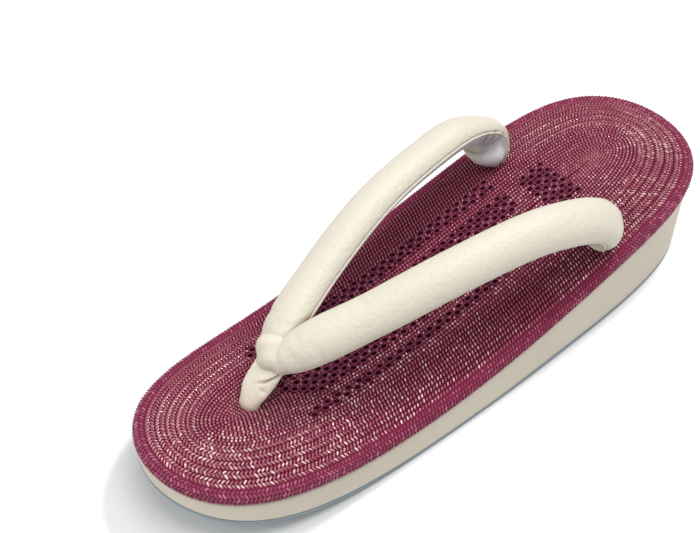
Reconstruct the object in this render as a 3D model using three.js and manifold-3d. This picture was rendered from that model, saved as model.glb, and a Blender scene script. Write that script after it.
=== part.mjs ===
// Zori sandal: one shoe of the pair, standing empty on its sole.
// Millimetres, +Z up, toe towards -Y, heel towards +Y.
// The origin is on the ground, under the middle of the whole object's bounding box.

import * as THREE from "three";
import { mergeVertices } from "three/addons/utils/BufferGeometryUtils.js";
import Module from "manifold-3d";

// Outline of the sole, seen from above
const LENGTH = 240;
const HALF_LENGTH = LENGTH / 2;
const MID_HALF_WIDTH = 39.1;
const HEEL_WIDENING = 2.0; // added at the heel end and taken off at the toe end
const END_NARROWING = 5.1; // taken off towards both ends
const END_SQUARENESS = 7.3; // how late the round ends begin
const RIM_STEPS = 72;

// Heights. Station -1 is the toe tip and +1 the back of the heel.
const WALL_TOPS = [
  { station: -1.0, wallTop: 21.4 },
  { station: -0.75, wallTop: 15.5 },
  { station: -0.5, wallTop: 11.6 },
  { station: -0.25, wallTop: 11.4 },
  { station: 0.0, wallTop: 14.2 },
  { station: 0.25, wallTop: 19.0 },
  { station: 0.5, wallTop: 24.2 },
  { station: 0.75, wallTop: 28.2 },
  { station: 1.0, wallTop: 31.6 },
];
const TOE_SPRING = 14.5;
const SPRING_START = -0.3;
const SPRING_POWER = 2.2;
const ARCH_RISE = 0.6;
const ARCH_CENTRE = 0.2;
const ARCH_REACH = 0.3;

// Layers of the sole
const OUTSOLE_THICKNESS = 3.0;
const GAP = 0.3; // between pieces that touch on the real sandal
const WALL_TOP_INSET = 0.9;
const RIM_HEIGHT = 4.9; // the rolled edge of the woven cover
const CROWN = 2.6; // how far the padding lifts the woven cover above its edge
const CROWN_RUN = 9;
const DISH = 1.2; // how far the foot bed sinks again in the middle
const DISH_START = 17;
const DISH_RUN = 14;

// Straps. One row for each section of the right strap, from the toe to the heel.
// x, y, z: middle of the padding. width, thick: across it. fx, fy, fz: the way the leather face looks.
const STRAP_SECTIONS = [
  { x: 1.6, y: -70.4, z: 37.6, width: 9.0, thick: 7.8, fx: 0.3, fy: -0.5, fz: 0.85 },
  { x: 3.8, y: -66.0, z: 40.0, width: 12.8, thick: 10.2, fx: 0.38, fy: -0.3, fz: 0.92 },
  { x: 12.9, y: -40.0, z: 46.9, width: 14.6, thick: 11.0, fx: 0.38, fy: -0.1, fz: 0.92 },
  { x: 20.6, y: -10.0, z: 52.7, width: 15.0, thick: 11.3, fx: 0.4, fy: 0.0, fz: 0.92 },
  { x: 26.0, y: 20.0, z: 53.2, width: 15.5, thick: 11.5, fx: 0.45, fy: 0.1, fz: 0.9 },
  { x: 28.8, y: 36.0, z: 49.8, width: 16.0, thick: 11.5, fx: 0.5, fy: 0.3, fz: 0.85 },
  { x: 29.5, y: 46.6, z: 44.8, width: 16.0, thick: 11.0, fx: 0.6, fy: 0.55, fz: 0.6 },
  { x: 28.9, y: 53.2, z: 39.0, width: 15.5, thick: 10.5, fx: 0.6, fy: 0.8, fz: 0.2 },
  { x: 27.6, y: 56.0, z: 34.0, width: 13.0, thick: 9.5, fx: 0.55, fy: 0.8, fz: -0.1 },
  { x: 26.8, y: 56.3, z: 28.0, width: 10.5, thick: 8.0, fx: 0.5, fy: 0.85, fz: -0.1 },
  { x: 26.6, y: 56.3, z: 20.0, width: 9.0, thick: 7.0, fx: 0.5, fy: 0.85, fz: 0.0 },
];
const STRAP_STEPS = 44;
// The rear hook of the left strap is soft too, and stands a little further back and higher
const HOOK = { minY: 30, minZ: 36 };
const LEFT_HOOK_SHIFT = { y: 1.8, z: 1.2 };
const LINING_FLATNESS = 0.78; // depth of the lining side against the leather side

// Toe post: a folded strip of band that runs from the joined strap ends down into the sole.
// The columns are those of the straps.
const POST_SECTIONS = [
  { x: -0.8, y: -70.0, z: 36.5, width: 10.0, thick: 6.5, fx: 0.2, fy: -0.8, fz: 0.5 },
  { x: -1.3, y: -74.0, z: 31.5, width: 10.4, thick: 6.2, fx: 0.2, fy: -0.8, fz: 0.5 },
  { x: -2.0, y: -78.2, z: 26.0, width: 9.6, thick: 5.6, fx: 0.2, fy: -0.9, fz: 0.4 },
  { x: -2.5, y: -80.2, z: 20.5, width: 8.0, thick: 5.2, fx: 0.2, fy: -1.0, fz: 0.2 },
  { x: -2.6, y: -80.6, z: 15.0, width: 7.4, thick: 5.2, fx: 0.2, fy: -1.0, fz: 0.0 },
  { x: -2.6, y: -80.6, z: 11.5, width: 7.2, thick: 5.2, fx: 0.2, fy: -1.0, fz: 0.0 },
];
const POST_STEPS = 14;
const POST_FLATNESS = 0.9;
const BAND_STEPS = 10;
const BAND_SHARE = 0.032; // share of the left strap's length that the band covers
const BAND_THICKNESS = 1.2;

// Swept bodies
const SWEEP_SIDES = 18;
const SLOPE_STEP = 0.2; // on both sides of the place where a direction is taken

// Rounding of a swept body's ends: each extra ring's scale, and its distance out as a share of the thickness
const END_ROUNDING = [
  { scale: 0.86, out: 0.22 },
  { scale: 0.55, out: 0.38 },
];

// Smooth value of one column of a table at a value of its key column
function between(rows, key, column, value) {
  const last = rows.length - 1;
  const above = rows.findIndex((row, index) => index > 0 && row[key] >= value);
  const high = above < 0 ? last : above;
  const low = high - 1;
  const slope = (from, to) => (rows[to][column] - rows[from][column]) / (rows[to][key] - rows[from][key]);
  const span = rows[high][key] - rows[low][key];
  const rise = slope(low, high);
  const startSlope = low === 0 ? rise : (slope(low - 1, low) + rise) / 2;
  const endSlope = high === last ? rise : (rise + slope(high, high + 1)) / 2;
  const t = THREE.MathUtils.clamp((value - rows[low][key]) / span, 0, 1);
  const start = rows[low][column] * (1 + 2 * t) * (1 - t) ** 2;
  const end = rows[high][column] * (3 - 2 * t) * t * t;
  return start + end + span * t * (1 - t) * (startSlope * (1 - t) - endSlope * t);
}

function station(y) {
  return THREE.MathUtils.clamp(y / HALF_LENGTH, -1, 1);
}

function halfWidth(s) {
  const side = MID_HALF_WIDTH + HEEL_WIDENING * s - END_NARROWING * s * s;
  return side * Math.sqrt(Math.max(0, 1 - Math.abs(s) ** END_SQUARENESS));
}

function wallTop(y) {
  return between(WALL_TOPS, "station", "wallTop", station(y));
}

function ground(y) {
  const s = station(y);
  const toward = Math.max(0, (SPRING_START - s) / (1 + SPRING_START));
  const fromArch = Math.min(1, Math.abs(s - ARCH_CENTRE) / ARCH_REACH);
  return TOE_SPRING * toward ** SPRING_POWER + (ARCH_RISE * (1 + Math.cos(Math.PI * fromArch))) / 2;
}

// The wall leans in under the toe and the heel and stands straight at the waist
function footInset(s) {
  return -0.8 + 0.2 * s + 2.0 * s * s + 0.8 * s ** 3;
}

function rimPoint(angle) {
  const s = -Math.cos(angle);
  return new THREE.Vector2(Math.sign(Math.sin(angle)) * halfWidth(s), s * HALF_LENGTH);
}

// The sole's outline moved inwards by a distance, or by a function of the station.
// Point i and point RIM_STEPS - i are each other's mirror image.
function rim(inset) {
  const points = [];
  for (let i = 0; i < RIM_STEPS; i += 1) {
    const angle = (i / RIM_STEPS) * Math.PI * 2;
    const here = rimPoint(angle);
    const along = rimPoint(angle + 0.01).sub(rimPoint(angle - 0.01)).normalize();
    const distance = typeof inset === "function" ? inset(station(here.y)) : inset;
    points.push(here.add(new THREE.Vector2(-along.y, along.x).multiplyScalar(distance)));
  }
  return points;
}

// Closed body from rings of equal length, the ends filled by rows of points across the ring
function closedBody(rings, lowFill, highFill) {
  const positions = [];
  const triangle = (a, b, c) => positions.push(...a.toArray(), ...b.toArray(), ...c.toArray());
  const quad = (a, b, c, d) => {
    triangle(a, b, c);
    triangle(a, c, d);
  };
  for (let r = 0; r + 1 < rings.length; r += 1) {
    const low = rings[r];
    const high = rings[r + 1];
    for (let i = 0; i < low.length; i += 1) {
      const j = (i + 1) % low.length;
      quad(low[i], low[j], high[j], high[i]);
    }
  }
  lowFill(rings[0], (a, b, c) => triangle(a, c, b));
  highFill(rings[rings.length - 1], triangle);
  return weld(positions);
}

function weld(positions) {
  const loose = new THREE.BufferGeometry();
  loose.setAttribute("position", new THREE.Float32BufferAttribute(positions, 3));
  const merged = mergeVertices(loose, 1e-4);
  const index = merged.getIndex().array;
  const kept = [];
  for (let i = 0; i < index.length; i += 3) {
    const [a, b, c] = [index[i], index[i + 1], index[i + 2]];
    if (a !== b && b !== c && a !== c) kept.push(a, b, c);
  }
  merged.setIndex(kept);
  return merged;
}

// Rows from the right side of a rim to its left side, at the height that the surface has there
function acrossRim(surface, divisions) {
  return (ring, triangle) => {
    const half = ring.length / 2;
    const row = (i) => {
      const from = ring[i];
      const to = ring[(ring.length - i) % ring.length];
      const isTip = i === 0 || i === half;
      const points = [];
      for (let k = 0; k <= divisions; k += 1) {
        const point = from.clone().lerp(to, k / divisions);
        if (!isTip && k > 0 && k < divisions) point.z = surface(point.x, point.y);
        points.push(point);
      }
      return points;
    };
    for (let i = 0; i < half; i += 1) {
      const here = row(i);
      const next = row(i + 1);
      for (let k = 0; k < divisions; k += 1) {
        triangle(here[k], next[k], next[k + 1]);
        triangle(here[k], next[k + 1], here[k + 1]);
      }
    }
  };
}

function fromMiddle(ring, triangle) {
  const middle = ring.reduce((sum, p) => sum.add(p), new THREE.Vector3()).divideScalar(ring.length);
  ring.forEach((point, i) => triangle(middle, point, ring[(i + 1) % ring.length]));
}

function atHeight(points, height) {
  return points.map((p) => new THREE.Vector3(p.x, p.y, height(p.y)));
}

// Outsole: a thin sheet that follows the ground line and turns up at the toe
function outsole() {
  const low = (y) => ground(y);
  const high = (y) => ground(y) + OUTSOLE_THICKNESS;
  const rings = [
    atHeight(rim((s) => footInset(s) + 0.5), low),
    atHeight(rim(footInset), (y) => low(y) + 0.5),
    atHeight(rim(footInset), high),
  ];
  return closedBody(rings, acrossRim((x, y) => low(y), 4), acrossRim((x, y) => high(y), 4));
}

// Wedge: the leather-wrapped body of the sole, low under the ball and high under the heel
function wedge() {
  const low = (y) => ground(y) + OUTSOLE_THICKNESS + GAP;
  const wallPart = (share) => {
    const points = rim((s) => footInset(s) * (1 - share) + WALL_TOP_INSET * share);
    return atHeight(points, (y) => low(y) * (1 - share) + wallTop(y) * share);
  };
  const rings = [0, 0.25, 0.5, 0.75, 1].map(wallPart);
  return closedBody(rings, acrossRim((x, y) => low(y), 4), acrossRim((x, y) => wallTop(y), 4));
}

// Height of the woven cover over its own edge, at a distance in from the edge
function padding(inward) {
  const rise = CROWN * (1 - Math.exp(-Math.max(0, inward - 4) / CROWN_RUN));
  const sink = DISH * (1 - Math.exp(-((Math.max(0, inward - DISH_START) / DISH_RUN) ** 2)));
  return RIM_HEIGHT + rise - sink;
}

function coverTop(x, y) {
  const inward = Math.min(halfWidth(station(y)) - Math.abs(x), HALF_LENGTH - Math.abs(y));
  return wallTop(y) + padding(inward);
}

// Woven cover: a padded sheet whose edge is rolled round a cord
function cover() {
  const edge = [
    { inset: 2.6, rise: GAP },
    { inset: 0.7, rise: 0.8 },
    { inset: 0.1, rise: 1.7 },
    { inset: 0.0, rise: 2.6 },
    { inset: 0.4, rise: 3.7 },
    { inset: 1.3, rise: 4.6 },
    { inset: 2.6, rise: RIM_HEIGHT },
    { inset: 4.4, rise: 4.7 },
    { inset: 7.5, rise: padding(7.5) },
    { inset: 12, rise: padding(12) },
  ];
  const rings = edge.map((row) => atHeight(rim(row.inset), (y) => wallTop(y) + row.rise));
  return closedBody(rings, acrossRim((x, y) => wallTop(y) + GAP, 4), acrossRim(coverTop, 8));
}

// The rows of a swept body with a key column, run: the distance along it from the first row
function measured(rows) {
  let run = 0;
  return rows.map((row, i) => {
    const before = rows[Math.max(i - 1, 0)];
    run += Math.hypot(row.x - before.x, row.y - before.y, row.z - before.z);
    return { ...row, run };
  });
}

// A padded body swept along a table's middle line, over its whole run or a share of it.
// The section has a full leather side and a flatter lining side. grow moves its surface out.
function sweep(table, { steps, flatness, grow = 0, share = 1 }) {
  const rows = measured(table);
  const at = (column, run) => between(rows, "run", column, run);
  const middle = (run) => new THREE.Vector3(at("x", run), at("y", run), at("z", run));
  const length = rows[rows.length - 1].run * share;
  const rings = [];
  const ends = [];
  for (let i = 0; i <= steps; i += 1) {
    const position = (i / steps) * length;
    const centre = middle(position);
    const along = middle(position + SLOPE_STEP).sub(middle(position - SLOPE_STEP)).normalize();
    const face = new THREE.Vector3(at("fx", position), at("fy", position), at("fz", position));
    face.addScaledVector(along, -face.dot(along)).normalize();
    const across = new THREE.Vector3().crossVectors(face, along);
    const thick = at("thick", position);
    const fullDepth = thick / (1 + flatness);
    const ring = [];
    for (let k = 0; k < SWEEP_SIDES; k += 1) {
      const turn = (k / SWEEP_SIDES) * Math.PI * 2;
      const side = Math.cos(turn) * (at("width", position) / 2 + grow);
      const depth = Math.sin(turn) > 0 ? fullDepth : fullDepth * flatness;
      const out = Math.sin(turn) * (depth + grow);
      ring.push(centre.clone().addScaledVector(across, side).addScaledVector(face, out));
    }
    rings.push(ring);
    if (i === 0) ends.push({ ring, centre, out: along.clone().negate(), thick });
    if (i === steps) ends.push({ ring, centre, out: along, thick });
  }
  const [start, finish] = ends.map((end) => END_ROUNDING.map((row) => roundedRing(end, row, grow)));
  return closedBody([...start.reverse(), ...rings, ...finish], fromMiddle, fromMiddle);
}

function roundedRing(end, row, grow) {
  const shift = end.out.clone().multiplyScalar(row.out * end.thick + grow);
  return end.ring.map((point) => point.clone().sub(end.centre).multiplyScalar(row.scale).add(end.centre).add(shift));
}

// The left strap is the right one mirrored, apart from its rear hook
function leftOf(rows) {
  return rows.map((row) => {
    const inHook = row.y > HOOK.minY && row.z > HOOK.minZ;
    const shift = inHook ? LEFT_HOOK_SHIFT : { y: 0, z: 0 };
    return { ...row, x: -row.x, y: row.y + shift.y, z: row.z + shift.z, fx: -row.fx };
  });
}

// Solids that are joined or cut
const wasm = await Module();
wasm.setup();

function solid(geometry) {
  const vertProperties = new Float32Array(geometry.getAttribute("position").array);
  const triVerts = new Uint32Array(geometry.getIndex().array);
  return new wasm.Manifold(new wasm.Mesh({ numProp: 3, vertProperties, triVerts }));
}

function geometryOf(body) {
  const { numProp, vertProperties, triVerts } = body.getMesh();
  const positions = [];
  for (const vertex of triVerts) {
    for (let k = 0; k < 3; k += 1) positions.push(vertProperties[vertex * numProp + k]);
  }
  const geometry = weld(positions);
  geometry.computeVertexNormals();
  return geometry;
}

// Both straps are one padded tube, folded where they meet in front
function strapPair(grow) {
  const shape = { steps: STRAP_STEPS, flatness: LINING_FLATNESS, grow };
  const right = solid(sweep(STRAP_SECTIONS, shape));
  const left = solid(sweep(leftOf(STRAP_SECTIONS), shape));
  return right.add(left);
}

function post(grow) {
  return solid(sweep(POST_SECTIONS, { steps: POST_STEPS, flatness: POST_FLATNESS, grow }));
}

// The band is wrapped round the end of the left strap, and the right strap's end lies over it
function toePost() {
  const wrap = { steps: BAND_STEPS, flatness: LINING_FLATNESS, grow: BAND_THICKNESS, share: BAND_SHARE };
  const band = solid(sweep(leftOf(STRAP_SECTIONS), wrap));
  const pieces = band.add(post(0)).subtract(strapPair(GAP)).decompose();
  return pieces.reduce((largest, piece) => (piece.volume() > largest.volume() ? piece : largest));
}

const holes = strapPair(GAP).add(post(GAP));

const MATERIALS = {
  outsole: { color: 0x8f99a1, roughness: 0.8 },
  leather: { color: 0xe9e0ca, roughness: 0.55 },
  woven: { color: 0x6f1231, roughness: 0.45 },
  band: { color: 0xe9dfc6, roughness: 0.75 },
};

const sandal = new THREE.Group();

function addPiece(name, body, finish) {
  const mesh = new THREE.Mesh(geometryOf(body), new THREE.MeshStandardMaterial(MATERIALS[finish]));
  mesh.name = name;
  sandal.add(mesh);
}

addPiece("outsole", solid(outsole()), "outsole");
addPiece("sole_wedge", solid(wedge()).subtract(holes), "leather");
addPiece("top_cover", solid(cover()).subtract(holes), "woven");
addPiece("straps", strapPair(0), "leather");
addPiece("toe_post", toePost(), "band");

export default sandal;
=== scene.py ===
import math

import bmesh
import bpy
import numpy as np
from mathutils import Matrix, Vector


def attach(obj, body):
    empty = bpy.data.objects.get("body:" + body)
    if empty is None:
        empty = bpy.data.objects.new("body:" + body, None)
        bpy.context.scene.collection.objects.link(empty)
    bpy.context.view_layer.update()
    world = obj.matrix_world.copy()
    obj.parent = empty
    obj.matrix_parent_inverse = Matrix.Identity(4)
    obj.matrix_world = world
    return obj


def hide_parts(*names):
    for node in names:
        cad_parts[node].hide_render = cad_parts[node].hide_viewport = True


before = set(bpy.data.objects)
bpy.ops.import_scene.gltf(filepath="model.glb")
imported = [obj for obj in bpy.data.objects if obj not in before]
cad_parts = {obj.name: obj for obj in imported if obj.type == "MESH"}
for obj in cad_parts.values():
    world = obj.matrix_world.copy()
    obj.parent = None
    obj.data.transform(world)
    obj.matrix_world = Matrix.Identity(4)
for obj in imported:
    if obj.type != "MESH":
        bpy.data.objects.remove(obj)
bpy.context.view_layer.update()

# Outsole: a thin blue-grey rubber sheet, 1.5 mm thick.
# It is cut to the outline, glued under the wrapped wedge and turned up at the toe.
MM = 0.001
HALF_LENGTH = 120.0
MID_HALF_WIDTH = 39.1
HEEL_WIDENING = 2.0
END_NARROWING = 5.1
END_SQUARENESS = 7.3
RIM_STEPS = 240
TANGENT_STEP = 0.01
ROWS_ACROSS = 6
OUTSOLE_THICKNESS = 1.5
# Rings up its edge: inset from the foot of the wall, height over the underside
OUTSOLE_RINGS = ((0.5, 0.0), (0.1, 0.15), (0.0, 0.5), (0.0, 1.2), (0.35, OUTSOLE_THICKNESS))
# Stations run from -1 at the toe tip to +1 at the back of the heel
TOE_SPRING, SPRING_START, SPRING_POWER = 14.5, -0.3, 2.2
ARCH_HALF_HEIGHT, ARCH_STATION, ARCH_REACH = 0.3, 0.2, 0.3


def half_width(station):
    side = MID_HALF_WIDTH + HEEL_WIDENING * station - END_NARROWING * station**2
    return side * np.sqrt(np.maximum(0, 1 - np.abs(station) ** END_SQUARENESS))


def rim(inset, steps=RIM_STEPS):
    """The outline seen from above, moved inwards by a distance in mm or by a function of the station."""
    angle = np.linspace(0, 2 * math.pi, steps, endpoint=False)

    def point(a):
        station = -np.cos(a)
        return np.stack([np.sign(np.sin(a)) * half_width(station), station * HALF_LENGTH], 1)

    along = point(angle + TANGENT_STEP) - point(angle - TANGENT_STEP)
    along /= np.linalg.norm(along, axis=1)[:, None]
    here = point(angle)
    distance = inset(here[:, 1] / HALF_LENGTH) if callable(inset) else np.full(steps, inset)
    return here + np.stack([-along[:, 1], along[:, 0]], 1) * distance[:, None]


def ground(y):
    """Height of the underside."""
    station = np.clip(y / HALF_LENGTH, -1, 1)
    spring = TOE_SPRING * (np.maximum(0, SPRING_START - station) / (1 + SPRING_START)) ** SPRING_POWER
    arch = ARCH_HALF_HEIGHT * (1 + np.cos(math.pi * np.minimum(1, np.abs(station - ARCH_STATION) / ARCH_REACH)))
    return spring + arch


def foot_inset(station):
    """How far the foot of the wall lies inside the outline: most under the heel, below 0 in the middle."""
    return -0.8 + 0.2 * station + 2.0 * station**2 + 0.8 * station**3


def ring_at(points, height):
    return np.column_stack([points, height(points[:, 1])])


def mesh_of(name, positions, faces, materials):
    mesh = bpy.data.meshes.new(name)
    mesh.from_pydata((positions * MM).tolist(), [], faces)
    for material in materials:
        mesh.materials.append(material)
    mesh.polygons.foreach_set("use_smooth", [True] * len(mesh.polygons))
    mesh.validate()
    mesh.update()
    piece = bpy.data.objects.new(name, mesh)
    bpy.context.scene.collection.objects.link(piece)
    return piece


def layered(name, rings, low, high, materials):
    """Closed body from rings round the outline.
    Its two ends are filled by rows across, at the heights low and high."""
    count = len(rings[0])
    half = count // 2
    positions = list(np.concatenate(rings))
    faces = []
    for r in range(len(rings) - 1):
        for i in range(count):
            j = (i + 1) % count
            faces.append((r * count + i, r * count + j, (r + 1) * count + j, (r + 1) * count + i))
    for base, surface, turned in ((0, low, True), ((len(rings) - 1) * count, high, False)):
        rows = []
        for i in range(half + 1):
            if i in (0, half):
                rows.append([base + i] * (ROWS_ACROSS + 1))
                continue
            start, end = positions[base + i], positions[base + count - i]
            row = [base + i]
            for k in range(1, ROWS_ACROSS):
                point = start + (end - start) * k / ROWS_ACROSS
                point[2] = surface(point[0], point[1])
                row.append(len(positions))
                positions.append(point)
            rows.append(row + [base + count - i])
        for here, there in zip(rows, rows[1:]):
            for k in range(ROWS_ACROSS):
                corners = [here[k], there[k], there[k + 1], here[k + 1]]
                face = list(dict.fromkeys(corners))
                if len(face) > 2:
                    faces.append(tuple(face[::-1] if turned else face))
    return mesh_of(name, np.array(positions), faces, materials)


class Socket:
    """A node's output that can be used in Python sums."""

    def __init__(self, tree, output):
        self.tree, self.output = tree, output

    def math(self, operation, *others):
        return Shader(self.tree).add("ShaderNodeMath", {"operation": operation}, self, *others)

    def __add__(self, other):
        return self.math("ADD", other)

    def __mul__(self, other):
        return self.math("MULTIPLY", other)

    def __sub__(self, other):
        return self.math("SUBTRACT", other)

    def __rsub__(self, other):
        return Shader(self.tree).add("ShaderNodeMath", {"operation": "SUBTRACT"}, other, self)

    def __gt__(self, other):
        return self.math("GREATER_THAN", other)

    def wave(self, pitch):
        """-1 to 1, repeating every pitch."""
        return (self * (2 * math.pi / pitch)).math("SINE")

    def clamped(self):
        return self.math("MINIMUM", 1.0).math("MAXIMUM", 0.0)

    __radd__ = __add__
    __rmul__ = __mul__


class Shader:
    """Makes nodes in a tree: the type, its settings first, then its sockets by place or by name."""

    def __init__(self, tree):
        self.tree = tree

    def add(self, kind, settings=None, *values, out=0, **named):
        node = self.tree.nodes.new(kind)
        for key, value in (settings or {}).items():
            setattr(node, key, value)
        pairs = list(zip(node.inputs, values))
        pairs += [(node.inputs[key.replace("_", " ")], value) for key, value in named.items()]
        for socket, value in pairs:
            if isinstance(value, Socket):
                self.tree.links.new(value.output, socket)
            elif value is not None:
                socket.default_value = value
        if not node.outputs:
            return node
        return Socket(self.tree, node.outputs[out])

    def mix(self, factor, low, high):
        node = self.tree.nodes.new("ShaderNodeMix")
        node.data_type = "RGBA"
        for socket, value in zip((node.inputs[0], node.inputs[6], node.inputs[7]), (factor, low, high)):
            if isinstance(value, Socket):
                self.tree.links.new(value.output, socket)
            else:
                socket.default_value = value
        return Socket(self.tree, node.outputs[2])

    def noise(self, where, scale, detail, roughness=0.55):
        return self.add("ShaderNodeTexNoise", {}, Vector=where, Scale=scale, Detail=detail, Roughness=roughness)


def material(name, build, **constants):
    """A named material. build(shader, where) returns what varies over it.
    The constants go on the surface's own sockets."""
    made = bpy.data.materials.new(name)
    made.use_nodes = True
    tree = made.node_tree
    surface = tree.nodes["Principled BSDF"]
    for key, value in constants.items():
        surface.inputs[key.replace("_", " ")].default_value = value
    shader = Shader(tree)
    where = shader.add("ShaderNodeTexCoord", {}, out=3)
    for key, value in build(shader, where).items():
        tree.links.new(value.output, surface.inputs[key])
    return made


def bump(shader, height, strength, distance):
    return shader.add("ShaderNodeBump", {}, Height=height, Strength=strength, Distance=distance)


def outsole_look(shader, where):
    grain = shader.noise(where, 900.0, 3.0)
    patch = shader.noise(where, 30.0, 3.0)
    colour = shader.mix(patch, (0.17, 0.215, 0.245, 1), (0.29, 0.34, 0.37, 1))
    return {"Base Color": colour, "Roughness": grain * 0.15 + 0.66, "Normal": bump(shader, grain, 0.3, 0.0003)}


rubber = material("blue_grey_rubber", outsole_look, Specular_IOR_Level=0.35)
outsole = layered(
    "outsole_sheet",
    [
        ring_at(rim(lambda s, inset=inset: foot_inset(s) + inset), lambda y, rise=rise: ground(y) + rise)
        for inset, rise in OUTSOLE_RINGS
    ],
    lambda x, y: ground(y),
    lambda x, y: ground(y) + OUTSOLE_THICKNESS,
    [rubber],
)
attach(outsole, "root")
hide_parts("outsole")

# Wedge: the body of the sole, low under the ball and high under the heel.
# Smooth cream leather is stretched round it, turned under at both edges and glued.
WALL_TOPS = (  # station, height
    (-1.0, 21.4), (-0.75, 15.5), (-0.5, 11.6), (-0.25, 11.4), (0.0, 14.2),
    (0.25, 19.0), (0.5, 24.2), (0.75, 28.2), (1.0, 31.6),
)  # fmt: skip
WALL_TOP_INSET = 0.9


def between(keys, values, at):
    """Smooth value at a place in a table, by a Hermite curve through its rows."""
    keys, values, at = np.asarray(keys, float), np.asarray(values, float), np.asarray(at, float)
    rises = np.diff(values) / np.diff(keys)
    slopes = np.concatenate([rises[:1], (rises[:-1] + rises[1:]) / 2, rises[-1:]])
    low = np.clip(np.searchsorted(keys, at) - 1, 0, len(keys) - 2)
    span = keys[low + 1] - keys[low]
    t = np.clip((at - keys[low]) / span, 0, 1)
    start = values[low] * (1 + 2 * t) * (1 - t) ** 2
    end = values[low + 1] * (3 - 2 * t) * t * t
    return start + end + span * t * (1 - t) * (slopes[low] * (1 - t) - slopes[low + 1] * t)


def wall_top(y):
    return between(*zip(*WALL_TOPS), np.clip(np.asarray(y) / HALF_LENGTH, -1, 1))


def wedge_low(y):
    return ground(y) + OUTSOLE_THICKNESS


def wall_ring(share, inset=0.0, rise=0.0):
    """A ring a share of the way up the wall, moved in and up by a little."""
    points = rim(lambda s: foot_inset(s) * (1 - share) + WALL_TOP_INSET * share + inset)
    return ring_at(points, lambda y: wedge_low(y) * (1 - share) + wall_top(y) * share + rise)


def leather_wrap_look(shader, where):
    grain = shader.noise(where, 1400.0, 4.0)
    pores = shader.noise(where, 420.0, 5.0)
    patch = shader.noise(where, 22.0, 3.0)
    colour = shader.mix(patch, (0.515, 0.465, 0.38, 1), (0.62, 0.57, 0.475, 1))
    height = grain * 0.5 + pores
    return {"Base Color": colour, "Roughness": pores * 0.2 + 0.5, "Normal": bump(shader, height, 0.25, 0.0003)}


wrap_leather = material("sole_leather_wrap", leather_wrap_look, Specular_IOR_Level=0.4)
wedge = layered(
    "sole_leather_wrap",
    [
        wall_ring(0.0, 0.9, 0.02),
        wall_ring(0.0, 0.25, 0.1),
        wall_ring(0.0, 0.0, 0.5),
        *[wall_ring(share) for share in (0.15, 0.3, 0.45, 0.6, 0.75, 0.9)],
        wall_ring(1.0, 0.0, -0.5),
        wall_ring(1.0, 0.5, 0.0),
    ],
    lambda x, y: wedge_low(y),
    lambda x, y: wall_top(y),
    [wrap_leather],
)
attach(wedge, "root")
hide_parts("sole_wedge")

# Foot bed: a padded cover woven from glossy wine-red yarn, its edge rolled round a cord.
# This is the ground of the weave: ridged rings round the toe and heel, and an openwork of small holes.
RIM_HEIGHT = 4.9
CROWN, CROWN_RUN = 2.6, 9.0
DISH, DISH_START, DISH_RUN = 1.2, 17.0, 14.0
COVER_STEPS = 1080
COVER_ROWS = 72
FINE_STEPS = 6000
ROLL_INSET = 3.6
SPINE = 84.0
HALF_BREADTH = MID_HALF_WIDTH - ROLL_INSET
RING_PITCH = 3.4
RING_COUNT = 5
RING_RISE, RING_RISE_AT_ENDS = 0.04, 0.22
# A soft bulge and a trough along the outer side: distance in, reach, rise
OUTER_SIDE_WAVES = ((6.5, 3.0, 0.4), (13.0, 3.0, -0.35))
HOLE_ROW, HOLE_PITCH = 1.85, 4.6  # spacing of the rows of holes, and of the holes in a row
HOLE_MIDDLE = -2.5
HOLE_SIZE = (0.85, 1.15)  # half widths, across and along
HOLE_DEPTH = 1.1
# Bands of holes: from and to, measured sideways from the middle of the openwork and along the sole
SIDE_BAND = (13.8, 18.6, -68, 48)
MIDDLE_BAND = (1.5, 10.5, -68, 47)
CROSS_BAND = (0.0, 10.5, 54, 67)
TAPER_START, TAPER_RUN = -74, 18  # the middle band narrows towards the toe
EDGE = (  # inset from the outline, height over the wall
    (2.6, 0.05), (1.5, 0.3), (0.7, 0.8), (0.1, 1.7), (0.0, 2.6), (0.15, 3.3), (0.4, 3.8), (0.8, 4.25),
    (1.3, 4.55), (1.9, 4.7), (2.5, 4.72), (3.1, 4.68),
)  # fmt: skip


def padding(inward):
    rise = CROWN * (1 - np.exp(-np.maximum(0, inward - 4) / CROWN_RUN))
    sink = DISH * (1 - np.exp(-((np.maximum(0, inward - DISH_START) / DISH_RUN) ** 2)))
    return RIM_HEIGHT + rise - sink


def even_rim(inset, steps):
    """The outline moved inwards, its points evenly spaced and its halves each other's mirror image."""
    fine = rim(inset, FINE_STEPS)
    closed = np.vstack([fine, fine[:1]])
    run = np.concatenate([[0], np.cumsum(np.linalg.norm(np.diff(closed, axis=0), axis=1))])
    at = np.linspace(0, run[-1], steps, endpoint=False)
    return np.column_stack([np.interp(at, run, closed[:, 0]), np.interp(at, run, closed[:, 1])])


def inner_ring(share, steps=COVER_STEPS):
    """A ring between the rolled edge (share 0) and the line along the middle (share 1), and its distance in."""
    outer = even_rim(ROLL_INSET, steps)
    spine = np.column_stack([np.zeros(steps), outer[:, 1] * SPINE / (HALF_LENGTH - ROLL_INSET)])
    way = spine - outer
    return outer + way * share, ROLL_INSET + np.linalg.norm(way, axis=1) * share


def openwork():
    """Centres of the holes: staggered rows in a band along each side, a wider double band and one across."""
    centres = []
    for row in range(-11, 10):
        x = row * HOLE_ROW + HOLE_MIDDLE
        for place in range(-16, 16):
            y = place * HOLE_PITCH + (HOLE_PITCH / 2 if row % 2 else 0.0)
            side = abs(x - HOLE_MIDDLE)
            taper = min(1, (y - TAPER_START) / TAPER_RUN)
            for (near, far, start, end), narrowing in ((SIDE_BAND, 1), (MIDDLE_BAND, taper), (CROSS_BAND, 1)):
                if near <= side <= far * narrowing and start <= y <= end:
                    centres.append((x, y))
    return np.array(centres)


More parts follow.
